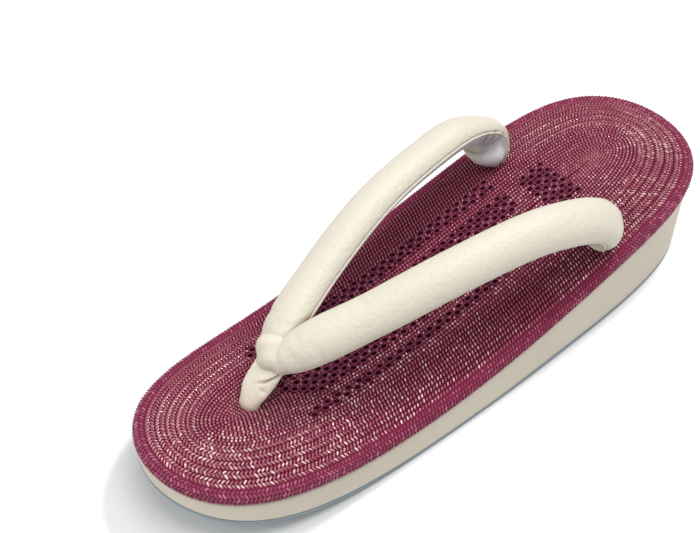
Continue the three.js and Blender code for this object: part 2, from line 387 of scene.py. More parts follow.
HOLES = openwork()
KNOWN_HOLES = np.round(np.round(HOLES[:, 0] * 100) + HOLES[:, 1] * 100000)


def pit(x, y):
    """0 on the cloth and 1 in the middle of a hole."""
    row = np.round((x - HOLE_MIDDLE) / HOLE_ROW)
    found = np.zeros_like(x)
    for step in (-1, 0, 1):
        line = row + step
        shift = np.where(line % 2 == 0, 0.0, HOLE_PITCH / 2)
        place = np.round((y - shift) / HOLE_PITCH)
        centre_x, centre_y = line * HOLE_ROW + HOLE_MIDDLE, place * HOLE_PITCH + shift
        known = np.isin(np.round(centre_x * 100 + centre_y * 100000), KNOWN_HOLES)
        reach = np.hypot((x - centre_x) / HOLE_SIZE[0], (y - centre_y) / HOLE_SIZE[1])
        found = np.maximum(found, np.where(known, np.clip(1.5 - reach, 0, 1), 0))
    return found


def relief(x, y, share):
    """Rise of the cloth over the padding: ridged rings, a soft bulge and a trough along the outer side."""
    inward = share * HALF_BREADTH
    ends = np.clip((np.abs(y) / HALF_LENGTH - 0.4) / 0.35, 0, 1)
    fade = np.clip((RING_COUNT * RING_PITCH - inward) / 4, 0, 1)
    ring = -0.5 * np.cos(2 * math.pi * inward / RING_PITCH)
    wave = sum(rise * np.exp(-(((inward - place) / reach) ** 2)) for place, reach, rise in OUTER_SIDE_WAVES)
    outer_side = np.clip(x / 20, 0, 1) * np.clip((70 - np.abs(y)) / 30, 0, 1)
    return ring * (RING_RISE + RING_RISE_AT_ENDS * ends) * fade + wave * outer_side


def cloth_height(x, y, inward, share):
    return wall_top(y) + padding(inward) + relief(x, y, share)


def cover_look(shader, where):
    """Dark ground between the strands, its darkness partly the yarn's own colour and partly painted shade; of
    the yarn's colour on the rolled edge, and darkest in the holes, as painted shade.
    """
    patch = shader.noise(where, 40.0, 3.0)
    depth = shader.add("ShaderNodeAttribute", {"attribute_name": "pit"}, out=2)
    roll = shader.add("ShaderNodeAttribute", {"attribute_name": "roll"}, out=2)
    # Painted shade: this dark colour is partly the yarn's own and partly shade between the strands.
    cloth = shader.mix(patch, (0.06, 0.002, 0.014, 1), (0.095, 0.006, 0.026, 1))
    cloth = shader.mix(roll, cloth, (0.15, 0.014, 0.042, 1))
    # Painted shade: the holes are painted darker than the cloth, for the shade in them.
    colour = shader.mix(depth, cloth, (0.036, 0.002, 0.011, 1))
    grain = shader.noise(where, 1500.0, 2.0)
    return {"Base Color": colour, "Roughness": grain * 0.1 + 0.85, "Normal": bump(shader, grain, 0.3, 0.0003)}


woven_ground = material("woven_wine_yarn_ground", cover_look, Specular_IOR_Level=0.1)


def woven_cover():
    count = COVER_STEPS
    rings, pits, rolls = [], [], []
    for inset, rise in EDGE:
        points = even_rim(inset, count)
        rings.append(ring_at(points, lambda y, r=rise: wall_top(y) + r))
        pits.append(np.zeros(count))
        rolls.append(np.ones(count))
    for k in range(COVER_ROWS + 1):
        points, inward = inner_ring(k / COVER_ROWS)
        x, y = points.T
        hole = pit(x, y)
        rings.append(np.column_stack([x, y, cloth_height(x, y, inward, k / COVER_ROWS) - HOLE_DEPTH * hole]))
        pits.append(hole)
        rolls.append(np.full(count, max(0.0, 1 - k / 4)))
    positions = np.concatenate(rings)
    faces = []
    index = np.arange(count)
    for r in range(len(rings) - 1):
        a, b = r * count + index, r * count + (index + 1) % count
        faces.append(np.column_stack([a, b, b + count, a + count]))
    faces = np.concatenate(faces).tolist()
    half = count // 2
    faces += [(0, 1, count - 1)[::-1], (half, half + 1, half - 1)[::-1]]
    faces += [(i, i + 1, count - i - 1, count - i)[::-1] for i in range(1, half - 1)]
    piece = mesh_of("woven_cover", positions, faces, [woven_ground])
    for name, values in (("pit", pits), ("roll", rolls)):
        layer = piece.data.attributes.new(name, "FLOAT", "POINT")
        layer.data.foreach_set("value", np.concatenate(values))
    return piece


def welded(piece, reach=0.00002):
    """The same piece with points that lie on each other merged."""
    body = bmesh.new()
    body.from_mesh(piece.data)
    bmesh.ops.remove_doubles(body, verts=body.verts, dist=reach)
    bmesh.ops.dissolve_degenerate(body, edges=body.edges, dist=reach / 2)
    body.to_mesh(piece.data)
    body.free()
    return piece


cover = welded(woven_cover())
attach(cover, "root")
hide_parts("top_cover")

# Weave: the yarn strands that stand up from the foot bed, in rows that follow the outline.
# Each ring is two rows of slanting strands that meet in a herringbone, and inside are fine plain rows.
STRAND_PITCH = 1.32
FINE_PITCH = 1.4
STRAND = (2.15, 0.95, 0.6)  # length, width, height
FINE_STRAND = (1.3, 1.05, 0.55)
STRAND_SLANT = math.radians(50)
SIDE_SLANT = math.radians(58)  # along the sides, where all rows lean one way
SIDE_END, SIDE_FADE = 75.0, 35.0
SIDE_SHRINK = 0.22  # the strands along the sides are that much smaller
FINE_WAY = math.radians(132)  # the one way in which the fine strands lie, from the +X axis
FINE_ROWS = 13
STRAND_SWAY = 0.16
ROW_POINTS = 720
# Rows on the rolled edge, and the line beyond the last: inset, height over the wall
ROLL_ROWS = ((0.0, 2.1), (0.2, 3.55), (1.2, 4.5), (2.7, 4.72), (3.4, 4.66))
ROLL_ROW_SIZE = 0.8
BED_STEP = 0.005  # share of the half breadth from a row to the line beyond it


def strand_look(shader, where):
    """Wine-red yarn with painted highlights: pale glints painted on the crests of some strands, in patches and
    more towards +X.
    """
    tone = shader.add("ShaderNodeAttribute", {"attribute_name": "tone"}, out=2)
    patch = shader.noise(where, 55.0, 3.0)
    base = shader.mix(patch, (0.205, 0.011, 0.036, 1), (0.29, 0.03, 0.068, 1))
    crest = shader.add("ShaderNodeAttribute", {"attribute_name": "crest"}, out=2)
    # Painted highlights: pale glint colour laid on the crests of some strands, in patches.
    glint_patches = ((shader.noise(where, 30.0, 1.0) - 0.36) * 3.2).clamped()
    # The painted glints are stronger towards +X, the side that the lamps light most.
    side = (shader.add("ShaderNodeSeparateXYZ", {}, Vector=where) * 24.0 + 0.5).clamped()
    painted_glint = (tone * glint_patches * (crest * 1.5 - 0.3).clamped() * (side * 1.3 + 0.15)).clamped()
    colour = shader.mix(painted_glint, base, (0.88, 0.60, 0.58, 1))
    fibre = shader.noise(where, 2600.0, 2.0)
    return {"Base Color": colour, "Roughness": fibre * 0.2 + 0.26, "Normal": bump(shader, fibre, 0.35, 0.0002)}


def dull_strand_look(shader, where):
    tone = shader.add("ShaderNodeAttribute", {"attribute_name": "tone"}, out=2)
    patch = shader.noise(where, 55.0, 3.0)
    fibre = shader.noise(where, 2600.0, 2.0)
    base = shader.mix(patch, (0.15, 0.012, 0.042, 1), (0.23, 0.032, 0.085, 1))
    colour = shader.mix(tone, base, (0.42, 0.13, 0.20, 1))
    return {"Base Color": colour, "Roughness": fibre * 0.2 + 0.5, "Normal": bump(shader, fibre, 0.35, 0.0002)}


yarn = material(
    "glossy_wine_yarn",
    strand_look,
    Coat_Weight=1.0,
    Coat_Roughness=0.1,
    Coat_IOR=1.72,
    Specular_IOR_Level=0.2,
)
dull_yarn = material("soft_wine_yarn", dull_strand_look, Specular_IOR_Level=0.5)


def roll_loop(inset, rise):
    return ring_at(even_rim(inset, ROW_POINTS), lambda y: wall_top(y) + rise)


def bed_loop(share):
    points, inward = inner_ring(share, ROW_POINTS)
    x, y = points.T
    return np.column_stack([x, y, cloth_height(x, y, inward, share)])


def row_guides(name, rows):
    """Loops on the foot bed with the way out of the surface, and the slant and size of their strands.
    Each row is a loop, the loop a little further in, a slant (None where all lie one way) and a size."""
    places, outs, slants, sizes, edges = [], [], [], [], []
    for here, further, slant, size in rows:
        count = len(here)
        along = np.roll(here, -1, 0) - np.roll(here, 1, 0)
        out = np.cross(along, further - here)
        out /= np.linalg.norm(out, axis=1)[:, None]
        first = sum(map(len, places))
        edges += [(first + i, first + (i + 1) % count) for i in range(count)]
        places.append(here)
        outs.append(out)
        if slant is None:
            slants.append(FINE_WAY - np.arctan2(along[:, 1], along[:, 0]))
            sizes.append(np.full(count, size))
        else:
            side = np.clip((SIDE_END - np.abs(here[:, 1])) / SIDE_FADE, 0, 1)
            aim = SIDE_SLANT if slant > 0 else SIDE_SLANT - math.pi
            slants.append(slant + (aim - slant) * side)
            sizes.append(size * (1 - SIDE_SHRINK * side))
    mesh = bpy.data.meshes.new(name)
    mesh.from_pydata((np.concatenate(places) * MM).tolist(), edges, [])
    mesh.attributes.new("out", "FLOAT_VECTOR", "POINT").data.foreach_set("vector", np.concatenate(outs).ravel())
    mesh.attributes.new("slant", "FLOAT", "POINT").data.foreach_set("value", np.concatenate(slants))
    mesh.attributes.new("size", "FLOAT", "POINT").data.foreach_set("value", np.concatenate(sizes))
    guide = bpy.data.objects.new(name, mesh)
    bpy.context.scene.collection.objects.link(guide)
    return guide


def node_group(name, inputs):
    """A Geometry Nodes tree with named inputs, each (name, kind, value)."""
    tree = bpy.data.node_groups.new(name, "GeometryNodeTree")
    tree.interface.new_socket("Geometry", in_out="INPUT", socket_type="NodeSocketGeometry")
    tree.interface.new_socket("Geometry", in_out="OUTPUT", socket_type="NodeSocketGeometry")
    for label, kind, _ in inputs:
        tree.interface.new_socket(label, in_out="INPUT", socket_type="NodeSocket" + kind)
    entry = tree.nodes.new("NodeGroupInput")
    return tree, Shader(tree), {s.name: Socket(tree, s) for s in entry.outputs if s.name}


def grown(name, guide, tree, inputs):
    """The mesh that a Geometry Nodes tree makes of a guide, as an object of its own; the guide is deleted."""
    modifier = guide.modifiers.new(name, "NODES")
    modifier.node_group = tree
    known = {item.name: item.identifier for item in tree.interface.items_tree if item.in_out == "INPUT"}
    for label, _, value in inputs:
        modifier[known[label]] = value
    evaluated = guide.evaluated_get(bpy.context.evaluated_depsgraph_get())
    mesh = bpy.data.meshes.new_from_object(evaluated)
    mesh.name = name
    mesh.materials.pop(index=0)  # the empty one of the guide
    piece = bpy.data.objects.new(name, mesh)
    bpy.context.scene.collection.objects.link(piece)
    guide.modifiers.remove(modifier)
    bpy.data.objects.remove(guide)
    return piece


def hole_points():
    """A point on the cloth for each hole, with the way out of the cloth."""
    x, y = HOLES.T

    def at(x, y):
        station = y / HALF_LENGTH
        inward = half_width(station) - np.abs(x)
        return wall_top(y) + padding(inward)

    step = 0.1
    slope_x = (at(x + step, y) - at(x - step, y)) / (2 * step)
    slope_y = (at(x, y + step) - at(x, y - step)) / (2 * step)
    mesh = bpy.data.meshes.new("hole_centres")
    mesh.from_pydata((np.column_stack([x, y, at(x, y)]) * MM).tolist(), [], [])
    outs = np.column_stack([-slope_x, -slope_y, np.ones_like(x)])
    mesh.attributes.new("out", "FLOAT_VECTOR", "POINT").data.foreach_set("vector", outs.ravel())
    points = bpy.data.objects.new("hole_centres", mesh)
    bpy.context.scene.collection.objects.link(points)
    return points


hole_guide = hole_points()

STRAND_INPUTS = (
    ("Holes", "Object", hole_guide),
    ("Hole Reach", "Float", 1.5 * MM),
    ("Pitch", "Float", STRAND_PITCH * MM),
    ("Size", "Vector", tuple(v * MM for v in STRAND)),
    ("Seed", "Int", 7),
    ("Material", "Material", yarn),
)


def strand_tree():
    """A small dome for each strand, laid at its row's slant and left out near the holes."""
    tree, make, given = node_group("strands_along_rows", STRAND_INPUTS)
    rows = make.add("GeometryNodeMeshToCurve", {}, Mesh=given["Geometry"])
    points = make.add("GeometryNodeResampleCurve", {"mode": "LENGTH"}, Curve=rows, Length=given["Pitch"])
    holes = make.add("GeometryNodeObjectInfo", {}, Object=given["Holes"], out=4)
    near = make.add("GeometryNodeProximity", {"target_element": "POINTS"}, Geometry=holes, out=1)
    kept = near > given["Hole Reach"]
    out = make.add("GeometryNodeInputNamedAttribute", {"data_type": "FLOAT_VECTOR"}, Name="out")
    slant = make.add("GeometryNodeInputNamedAttribute", {"data_type": "FLOAT"}, Name="slant")
    tangent = make.add("GeometryNodeInputTangent")
    standing = make.add("FunctionNodeAlignRotationToVector", {"axis": "Z"}, Vector=out)
    facing = make.add(
        "FunctionNodeAlignRotationToVector", {"axis": "X", "pivot_axis": "Z"}, Rotation=standing, Vector=tangent
    )
    sway = make.add("FunctionNodeRandomValue", {}, Seed=given["Seed"], out=1)
    turn = make.add("ShaderNodeCombineXYZ", {}, Z=slant + (sway - 0.5) * STRAND_SWAY)
    turned = make.add(
        "FunctionNodeRotateRotation",
        {"rotation_space": "LOCAL"},
        Rotation=facing,
        Rotate_By=make.add("FunctionNodeEulerToRotation", {}, Euler=turn),
    )
    grid = make.add("GeometryNodeMeshGrid", {}, Size_X=1.0, Size_Y=1.0, Vertices_X=6, Vertices_Y=4)
    place = make.add("GeometryNodeInputPosition")
    x = make.add("ShaderNodeSeparateXYZ", {}, Vector=place, out=0)
    y = make.add("ShaderNodeSeparateXYZ", {}, Vector=place, out=1)
    lengthwise = 1 - (x * 2).math("POWER", 2.0)
    crosswise = (1 - (y * 2).math("POWER", 2.0)).math("POWER", 0.6)
    crest = make.add(
        "GeometryNodeStoreNamedAttribute",
        {"data_type": "FLOAT", "domain": "POINT"},
        Geometry=grid,
        Name="crest",
        Value=lengthwise * crosswise,
    )
    rise = make.add("ShaderNodeCombineXYZ", {}, Z=lengthwise * crosswise - 0.25)
    dome = make.add("GeometryNodeSetPosition", {}, Geometry=crest, Offset=rise)
    dome = make.add("GeometryNodeSetShadeSmooth", {}, Geometry=dome)
    own = make.add("GeometryNodeInputNamedAttribute", {"data_type": "FLOAT"}, Name="size")
    size = make.add("FunctionNodeRandomValue", {}, Seed=given["Seed"] + 1, out=1) * 0.2 + 0.9
    scale = make.add("ShaderNodeVectorMath", {"operation": "SCALE"}, Vector=given["Size"], Scale=size * own)
    strands = make.add(
        "GeometryNodeInstanceOnPoints",
        {},
        Points=points,
        Selection=kept,
        Instance=dome,
        Rotation=turned,
        Scale=scale,
    )
    tone = make.add("FunctionNodeRandomValue", {}, Seed=given["Seed"] + 2, out=1)
    toned = make.add(
        "GeometryNodeStoreNamedAttribute",
        {"data_type": "FLOAT", "domain": "INSTANCE"},
        Geometry=strands,
        Name="tone",
        Value=tone.math("POWER", 3.0),
    )
    real = make.add("GeometryNodeRealizeInstances", {}, Geometry=toned)
    done = make.add("GeometryNodeSetMaterial", {}, Geometry=real, Material=given["Material"])
    make.add("NodeGroupOutput", {}, done)
    return tree


strands_along_rows = strand_tree()


def row_slant(k):
    return STRAND_SLANT if k % 2 else -STRAND_SLANT


def bed_row(inward, slant, shift):
    """A row on the foot bed. It starts shift points earlier, so that neighbouring rows are staggered."""
    share = inward / HALF_BREADTH
    here, further = (np.roll(bed_loop(s), shift, 0) for s in (share, share + BED_STEP))
    return here, further, slant, 1.0


WEAVE = {
    "weave_edge": [
        (roll_loop(*row), roll_loop(*beyond), row_slant(k), ROLL_ROW_SIZE)
        for k, (row, beyond) in enumerate(zip(ROLL_ROWS, ROLL_ROWS[1:]))
    ],
    "weave_rings": [bed_row((k + 0.5) * RING_PITCH / 2, row_slant(k), k % 2) for k in range(2 * RING_COUNT)],
    "weave_middle": [
        bed_row(RING_COUNT * RING_PITCH + (k + 0.5) * FINE_PITCH, None, k % 2) for k in range(FINE_ROWS)
    ],
}
WEAVE_INPUTS = {
    "weave_edge": {"Material": dull_yarn},
    "weave_middle": {"Size": tuple(v * MM for v in FINE_STRAND)},
}
for name, rows in WEAVE.items():
    own = WEAVE_INPUTS.get(name, {})
    inputs = [(label, kind, own.get(label, value)) for label, kind, value in STRAND_INPUTS]
    strands = grown(name, row_guides(name + "_rows", rows), strands_along_rows, inputs)
    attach(strands, "root")

# Openwork: the foot bed's small holes, in bands under and between the straps.
# Each is edged by an oval ring of the duller yarn, as where strands are drawn apart and bound.
EYELET_INPUTS = (
    ("Half Size", "Vector", (1.08 * MM, 1.38 * MM, 0.0)),
    ("Yarn Radius", "Float", 0.22 * MM),
    ("Material", "Material", dull_yarn),
)


def eyelet_tree():
    """An oval ring of yarn on each hole's centre, its long side along the sole."""
    tree, make, given = node_group("ovals_round_holes", EYELET_INPUTS)
    circle = make.add("GeometryNodeCurvePrimitiveCircle", {}, Resolution=12, Radius=1.0)
    place = make.add("GeometryNodeInputPosition")
    oval_place = make.add("ShaderNodeVectorMath", {"operation": "MULTIPLY"}, place, given["Half Size"])
    oval = make.add("GeometryNodeSetPosition", {}, Geometry=circle, Position=oval_place)
    section = make.add("GeometryNodeCurvePrimitiveCircle", {}, Resolution=5, Radius=given["Yarn Radius"])
    ring = make.add("GeometryNodeCurveToMesh", {}, Curve=oval, Profile_Curve=section)
    out = make.add("GeometryNodeInputNamedAttribute", {"data_type": "FLOAT_VECTOR"}, Name="out")
    standing = make.add("FunctionNodeAlignRotationToVector", {"axis": "Z"}, Vector=out)
    facing = make.add(
        "FunctionNodeAlignRotationToVector",
        {"axis": "Y", "pivot_axis": "Z"},
        Rotation=standing,
        Vector=make.add("ShaderNodeCombineXYZ", {}, Y=1.0),
    )
    centres = given["Geometry"]
    rings = make.add("GeometryNodeInstanceOnPoints", {}, Points=centres, Instance=ring, Rotation=facing)
    real = make.add("GeometryNodeRealizeInstances", {}, Geometry=rings)
    smooth = make.add("GeometryNodeSetShadeSmooth", {}, Geometry=real)
    done = make.add("GeometryNodeSetMaterial", {}, Geometry=smooth, Material=given["Material"])
    make.add("NodeGroupOutput", {}, done)
    return tree


eyelets = grown("openwork_eyelets", hole_guide, eyelet_tree(), EYELET_INPUTS)
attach(eyelets, "root")

# Straps: a padded tube for each side, cream leather above and grey suede below, seamed along both edges.
# Their rear ends are gathered and go down through the cover beside the ankle.
STRAP_SECTIONS = (
    # x, y, z of the middle, width, thickness, and the way the leather face looks
    (1.6, -70.4, 37.6, 9.0, 7.8, 0.3, -0.5, 0.85),
    (3.8, -66.0, 40.0, 12.8, 10.2, 0.38, -0.3, 0.92),
    (12.9, -40.0, 46.9, 14.6, 11.0, 0.38, -0.1, 0.92),
    (20.6, -10.0, 52.7, 15.0, 11.3, 0.4, 0.0, 0.92),
    (26.0, 20.0, 53.2, 15.5, 11.5, 0.45, 0.1, 0.9),
    (28.8, 36.0, 49.8, 16.0, 11.5, 0.5, 0.3, 0.85),
    (29.5, 46.6, 44.8, 16.0, 11.0, 0.6, 0.55, 0.6),
    (28.9, 53.2, 39.0, 15.5, 10.5, 0.6, 0.8, 0.2),
    (27.6, 56.0, 34.0, 13.0, 9.5, 0.55, 0.8, -0.1),
    (26.8, 56.3, 28.0, 10.5, 8.0, 0.5, 0.85, -0.1),
    (26.6, 56.3, 20.0, 9.0, 7.0, 0.5, 0.85, 0.0),
)
LINING_FLATNESS = 0.78
STRAP_STEPS, STRAP_SIDES = 210, 144
SLOPE_STEP = 0.2
# Rounded ends: the scale of a ring, and how far out it lies as a share of the thickness
END_ROUNDING = ((0.97, 0.1), (0.86, 0.22), (0.72, 0.31), (0.55, 0.38), (0.3, 0.42))
HOOK_BACK, HOOK_UP = 1.8, 1.2  # how much further back and higher the left strap's rear bend stands


def left_of(rows):
    """The same table for the left strap."""
    made = []
    for x, y, z, width, thick, fx, fy, fz in rows:
        back, up = (HOOK_BACK, HOOK_UP) if y > 30 and z > 36 else (0.0, 0.0)
        made.append((-x, y + back, z + up, width, thick, -fx, fy, fz))
    return made


def sweep(rows, steps, sides, flatness, relief, grow=0.0, share=1.0):
    """Rings of a padded body along a table's middle line, over its whole run or a share of it.
    Half a turn has the full leather side, the other half the flatter lining side.
    relief(run, turn) and grow move the surface out, in mm."""
    table = np.array(rows, float)
    runs = np.concatenate([[0], np.cumsum(np.linalg.norm(np.diff(table[:, :3], axis=0), axis=1))])

    def at(columns, run):
        return np.stack([between(runs, table[:, c], run) for c in columns], -1)

    turn = np.linspace(0, 2 * math.pi, sides, endpoint=False)
    length = runs[-1] * share
    rings = []
    for run in np.linspace(0, length, steps + 1):
        centre = at((0, 1, 2), run)
        along = at((0, 1, 2), run + SLOPE_STEP) - at((0, 1, 2), run - SLOPE_STEP)
        along /= np.linalg.norm(along)
        face = at((5, 6, 7), run)
        face -= along * face.dot(along)
        face /= np.linalg.norm(face)
        across = np.cross(face, along)
        width, thick = at((3, 4), run)
        depth = np.where(np.sin(turn) > 0, 1.0, flatness) * thick / (1 + flatness)
        extra = grow + relief(run, turn)
        side, out = np.cos(turn) * (width / 2 + extra), np.sin(turn) * (depth + extra)
        rings.append(centre + side[:, None] * across + out[:, None] * face)
        if run == 0:
            first = (centre, -along, thick)
    last = (centre, along, thick)
    start = [rounded(rings[0], *first, *row, grow) for row in END_ROUNDING][::-1]
    return start + rings + [rounded(rings[-1], *last, *row, grow) for row in END_ROUNDING]


def rounded(ring, centre, out, thick, scale, reach, grow):
    """A smaller ring further out, for a rounded end."""
    return (ring - centre) * scale + centre + out * (reach * thick + grow)


def tube(name, rings, materials, slot_of=None):
    """Closed body from rings. slot_of(turn share, run) gives the material of a face.
    Its corners keep how far along and how far round they lie, for the ribs."""
    count = len(rings[0])
    steps = [np.linalg.norm(b.mean(0) - a.mean(0)) for a, b in zip(rings, rings[1:])]
    runs = np.concatenate([[0], np.cumsum(steps)])
    positions = list(np.concatenate(rings)) + [rings[0].mean(0), rings[-1].mean(0)]
    faces, slots, along, around = [], [], [], []
    for r in range(len(rings) - 1):
        for i in range(count):
            j = (i + 1) % count
            faces.append((r * count + i, r * count + j, (r + 1) * count + j, (r + 1) * count + i))
            slots.append(slot_of((i + 0.5) / count, runs[r]) if slot_of else 0)
            along += [runs[r], runs[r], runs[r + 1], runs[r + 1]]
            around += [i, i + 1, i + 1, i]
    last, first_pole, last_pole = (len(rings) - 1) * count, len(positions) - 2, len(positions) - 1
    for i in range(count):
        j = (i + 1) % count
        faces += [(first_pole, j, i), (last_pole, last + i, last + j)]
        slots += [slot_of((i + 0.5) / count, run) if slot_of else 0 for run in (0.0, runs[-1])]
        along += [0.0] * 3 + [runs[-1]] * 3
        around += [i, i + 1, i, i, i, i + 1]
    piece = mesh_of(name, np.array(positions), faces, materials)
    piece.data.polygons.foreach_set("material_index", slots)
    piece.data.attributes.new("along", "FLOAT", "CORNER").data.foreach_set("value", along)
    turns = np.array(around) * (2 * math.pi / count)
    piece.data.attributes.new("around", "FLOAT", "CORNER").data.foreach_set("value", turns)
    return piece


LINING_TURN = 0.37  # below each edge, in radians round the strap
# Seam, piping and the lining's seam: place below each edge, reach, rise
EDGE_LINES = ((0.12, 0.05, -0.4), (0.25, 0.09, 0.35), (LINING_TURN, 0.05, -0.3))
# Creases of the padded straps: distance along, place round, reach along, reach round, lean, depth
CREASES = (
    (5.0, 1.9, 2.2, 0.75, 0.10, 0.45),
    (8.5, 1.2, 1.6, 0.55, -0.06, 0.30),
    (12.5, 2.3, 1.8, 0.50, 0.08, 0.28),
    (31.0, 1.0, 2.0, 0.40, 0.15, 0.12),
    (52.0, 2.1, 2.4, 0.45, -0.2, 0.12),
    (74.0, 1.3, 2.2, 0.50, 0.2, 0.10),
    (96.0, 2.2, 2.0, 0.50, -0.1, 0.14),
    (112.0, 4.6, 1.2, 0.9, 0.10, 0.5),
    (118.0, 4.8, 1.1, 1.0, 0.05, 0.6),
    (125.5, 3.0, 0.8, 0.25, 0.1, 0.55),
    (128.5, 3.0, 0.8, 0.30, 0.05, 0.65),
    (131.5, 3.1, 0.8, 0.30, 0.0, 0.60),
)
GATHER_START, GATHER_END, GATHER_DEPTH = 126.0, 141.0, 0.55
GATHER_FOLDS = 8
WRAP_START, WRAP_RUN = 129.0, 9.0  # where the leather starts to wrap under, over how far
# Rear bend: place along, reach and rise of the leather side, and of the hollow of the lining side
KNUCKLE = (133, 6, 0.8)
HOLLOW = (127, 9, -1.0)
# Soft bulges just above the cover: place along, place round, reach along, reach round, rise
BULGES = (
    (131, math.pi - 0.35, 5, 0.7, 1.2),
    (137.5, math.pi + 0.55, 4.0, 1.0, 2.6),
    (140.5, 1.5 * math.pi, 4.6, 0.9, 3.8),
)
TAIL_START, TAIL_RUN, TAIL_DEPTH = 139, 4, 1.0  # the strap narrows where it goes through the cover
# Pleats of the lining, spread like a fan from the strap's outer edge in the rear bend
FAN_RUN, FAN_TURN = 131.0, math.pi + 0.85
FAN_PLEATS = ((-0.15, 1.0), (0.25, 1.6), (0.65, 1.9), (1.05, 1.6), (1.4, 1.1))  # direction, depth


def fan(run, turn):
    """Depth of the pleats at a place of the lining."""
    up, across = FAN_RUN - run, (turn - FAN_TURN) * 6
    reach, direction = np.hypot(up, across), np.arctan2(up, across)
    window = np.clip(reach / 3, 0, 1) * np.exp(-((reach / 13) ** 4)) * (across > -1)
    width = 0.75 / np.maximum(reach, 2)
    return window * sum(-depth * np.exp(-(((direction - way) / width) ** 2)) for way, depth in FAN_PLEATS)


def turn_from(turn, place):
    """How far round from a place, -pi to pi."""
    return (turn - place + math.pi) % (2 * math.pi) - math.pi


def strap_relief(run, turn):
    """Seam, piping, creases, and the gathers, bulges and pleats of the bend above the sole."""
    turn = turn % (2 * math.pi)
    below = np.minimum(np.abs((turn - math.pi) % (2 * math.pi)), np.abs((-turn) % (2 * math.pi)))
    total = 0.0
    for place, reach, rise in EDGE_LINES:
        total = total + rise * np.exp(-(((below - place) / reach) ** 2))
    for place, centre, reach, spread, lean, depth in CREASES:
        away = turn_from(turn, centre)
        across = (run - place - lean * away * 10) / reach
        total = total - depth * (1 - 0.8 * across**2) * np.exp(-(across**2) - (away / spread) ** 2)
    gather = np.clip((run - GATHER_START) / (GATHER_END - GATHER_START), 0, 1) ** 1.3
    folds = np.cos(GATHER_FOLDS * turn + 0.6 * np.sin(2 * turn + 0.5) + 0.02 * run)
    tight = np.clip(0.35 - 0.65 * np.cos(turn - math.pi), 0.1, 1)
    total = total + gather * GATHER_DEPTH * tight * folds
    for (place, reach, rise), side in (
        (KNUCKLE, np.clip(np.sin(turn), 0, 1)),
        (HOLLOW, np.clip(-np.sin(turn) - 0.3, 0, 1)),
    ):
        total = total + rise * np.exp(-(((run - place) / reach) ** 2)) * side
    for place, centre, reach, spread, rise in BULGES:
        total = total + rise * np.exp(-(((run - place) / reach) ** 2) - ((turn - centre) / spread) ** 2)
    tail = np.clip((run - TAIL_START) / TAIL_RUN, 0, 1) ** 2
    return total - TAIL_DEPTH * tail + fan(run, turn)


CREVICE = 2.5 * MM


def crevice_shaded(shader, colour, shade_colour, strength, start=0.0):
    """The colour with painted shade in the crevices, which are found by how little open air is near."""
    # Painted shade: the colour is darkened towards a dark tone where little open air is near.
    open_air = shader.add("ShaderNodeAmbientOcclusion", {"samples": 8}, Distance=CREVICE, out=1)
    return shader.mix(((1 - open_air) * strength - start).clamped(), colour, shade_colour)


def strap_leather_look(shader, where):
    pores = shader.add("ShaderNodeTexVoronoi", {}, Vector=where, Scale=750.0)
    grain = shader.noise(where, 1500.0, 3.0)
    stretched = shader.add("ShaderNodeMapping", {}, Vector=where, Scale=(260.0, 90.0, 260.0))
    wrinkle = shader.noise(stretched, 1.0, 5.0, 0.6)
    patch = shader.noise(where, 30.0, 3.0)
    colour = shader.mix(patch, (0.53, 0.49, 0.395, 1), (0.61, 0.57, 0.475, 1))
    speckle = shader.noise(where, 1000.0, 2.0)
    colour = shader.mix(speckle, colour, (0.66, 0.62, 0.52, 1))
    # Painted shade: brown darkening in the strap's creases and where it meets the band and the cover.
    colour = crevice_shaded(shader, colour, (0.27, 0.21, 0.145, 1), 1.6, 0.15)
    normal = bump(shader, pores * 0.35 + grain * 0.15 + wrinkle, 0.55, 0.0006)
    return {"Base Color": colour, "Roughness": grain * 0.15 + 0.45, "Normal": normal}


def suede_look(shader, where):
    nap = shader.noise(where, 1300.0, 5.0)
    brushed = shader.noise(where, 120.0, 4.0)
    colour = shader.mix(brushed, (0.44, 0.425, 0.44, 1), (0.62, 0.605, 0.61, 1))
    # Painted shade: grey darkening in the lining's pleats and creases.
    colour = crevice_shaded(shader, colour, (0.16, 0.14, 0.14, 1), 1.2)
    return {"Base Color": colour, "Roughness": nap * 0.1 + 0.85, "Normal": bump(shader, nap, 0.4, 0.0004)}


strap_leather = material("strap_cream_leather", strap_leather_look, Specular_IOR_Level=0.45)
suede = material("strap_grey_suede", suede_look, Specular_IOR_Level=0.2, Sheen_Weight=0.3)


def strap_slot(share, run):
    """Leather, or the lining of the lower side, which ends early on the outer side of the rear bend."""
    turn = share * 2 * math.pi
    wrap = min(1.0, max(0.0, (run - WRAP_START) / WRAP_RUN))
    return 1 if math.pi + LINING_TURN + wrap < turn < 2 * math.pi - LINING_TURN else 0


# The left strap is worked as the right one's mirror image: places round it run the other way
STRAPS = (
    ("strap_right", STRAP_SECTIONS, strap_relief, strap_slot),
    (
        "strap_left",
        left_of(STRAP_SECTIONS),
        lambda run, turn: strap_relief(run, math.pi - turn),
        lambda share, run: strap_slot((0.5 - share) % 1, run),
    ),
)
for name, rows, relief_of, slot_of in STRAPS:
    rings = sweep(rows, STRAP_STEPS, STRAP_SIDES, LINING_FLATNESS, relief_of)
    strap = tube(name, rings, [strap_leather, suede], slot_of)
    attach(strap, "root")
    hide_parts("straps")

